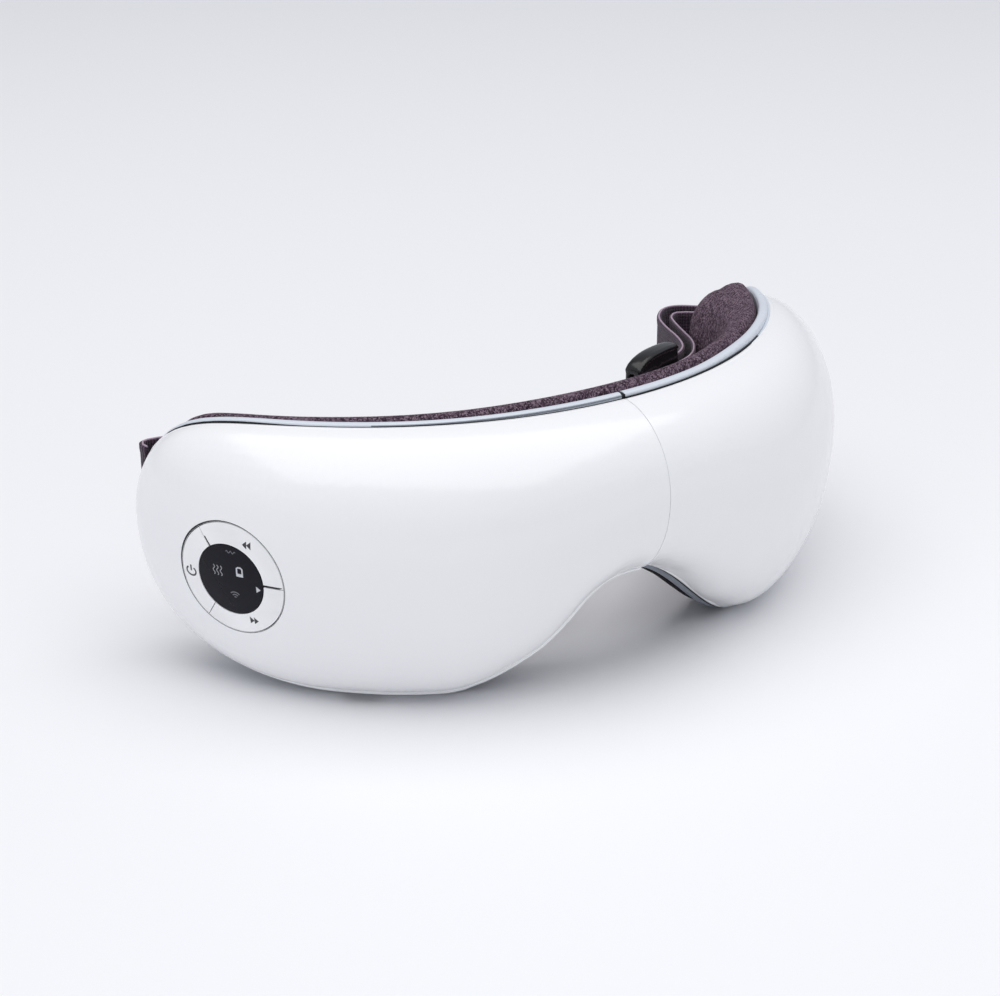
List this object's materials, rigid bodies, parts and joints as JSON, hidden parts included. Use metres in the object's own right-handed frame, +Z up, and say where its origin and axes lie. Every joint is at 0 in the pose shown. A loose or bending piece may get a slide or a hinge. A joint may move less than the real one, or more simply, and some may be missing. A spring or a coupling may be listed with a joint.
{
  "type": "eye massager",
  "caption": "Folding eye massager: white wrap-around visor with a nose arch, fabric-padded hollow, round button panel with display on one temple, and an elastic head strap.",
  "frame": {"origin": "under the middle of the bounding box, on the plane that the two lobes stand on", "axes": "+X along the width, to the right of a viewer facing the white front; -Y the way the front faces; +Z up"},
  "size_m": [0.21, 0.1102, 0.0746],
  "materials": {
    "white_gloss": "gloss",
    "rim_grey": "satin",
    "frame_grey": "matte",
    "lining": "soft heathered cloth over foam",
    "air_cell": "matte",
    "heat_film": "satin",
    "black_plastic": "matte",
    "steel": "brushed",
    "tube": "satin",
    "button_white": "satin",
    "window_black": "gloss",
    "board_green": "satin",
    "cell_foil": "satin",
    "pump_white": "matte",
    "webbing": "woven elastic",
    "slider_black": "gloss"
  },
  "bodies": {
    "left_half": {"left_shell": "white_gloss", "left_frame": "frame_grey", "left_rim": "rim_grey", "left_face_pad": "lining", "left_airbag": "air_cell", "left_heat_film": "heat_film", "left_hinge_leaf": "steel", "hinge_pin": "steel", "left_case_screws": "steel", "panel_housing": "frame_grey", "display_window": "window_black", "display_holder": "frame_grey", "display_board": "board_green", "tact_switches": "black_plastic", "main_board": "board_green", "board_components": "black_plastic", "charging_socket": "steel", "left_vibration_motor": "steel", "left_strap_anchor": "black_plastic", "lining_bridge": "lining", "hinge_harness": "heat_film", "bridge_air_tube": "tube"},
    "right_half": {"right_shell": "white_gloss", "right_frame": "frame_grey", "right_rim": "rim_grey", "right_face_pad": "lining", "right_airbag": "air_cell", "right_heat_film": "heat_film", "right_hinge_leaf": "steel", "right_case_screws": "steel", "battery": "cell_foil", "pump_motor": "steel", "pump_head": "pump_white", "release_valve": "steel", "right_air_tube": "tube", "right_vibration_motor": "steel", "right_strap_anchor": "black_plastic", "head_strap": "webbing"},
    "back_button": {"back_button": "button_white"},
    "power_button": {"power_button": "button_white"},
    "forward_button": {"forward_button": "button_white"},
    "left_weight": {"left_vibration_weight": "steel"},
    "right_weight": {"right_vibration_weight": "steel"},
    "slider": {"strap_slider": "slider_black"}
  },
  "joints": [
    {"name": "fold_hinge", "type": "hinge", "parent": "left_half", "child": "right_half", "pos_m": [0, -0.02932, 0.05], "axis": [0, 0, 1], "range_deg": [0, 85], "deforming": ["head_strap", "lining_bridge", "hinge_harness", "bridge_air_tube"]},
    {"name": "power_button_press", "type": "slide", "parent": "left_half", "child": "power_button", "axis": [0.8924, 0.4425, 0.0886], "range_m": [0, 0.0004], "stiffness_N_per_m": 500},
    {"name": "back_button_press", "type": "slide", "parent": "left_half", "child": "back_button", "axis": [0.8924, 0.4425, 0.0886], "range_m": [0, 0.0004], "stiffness_N_per_m": 500},
    {"name": "forward_button_press", "type": "slide", "parent": "left_half", "child": "forward_button", "axis": [0.8924, 0.4425, 0.0886], "range_m": [0, 0.0004], "stiffness_N_per_m": 500},
    {"name": "left_weight_spin", "type": "hinge", "parent": "left_half", "child": "left_weight", "pos_m": [-0.02443, -0.03824, 0.0612], "axis": [0, 0, 1], "continuous": true},
    {"name": "right_weight_spin", "type": "hinge", "parent": "right_half", "child": "right_weight", "pos_m": [0.02443, -0.03824, 0.0612], "axis": [0, 0, 1], "continuous": true},
    {"name": "slider_slide", "type": "slide", "parent": "right_half", "child": "slider", "axis": [0.9429, 0.3332, 0], "range_m": [-0.005, 0]}
  ]
}
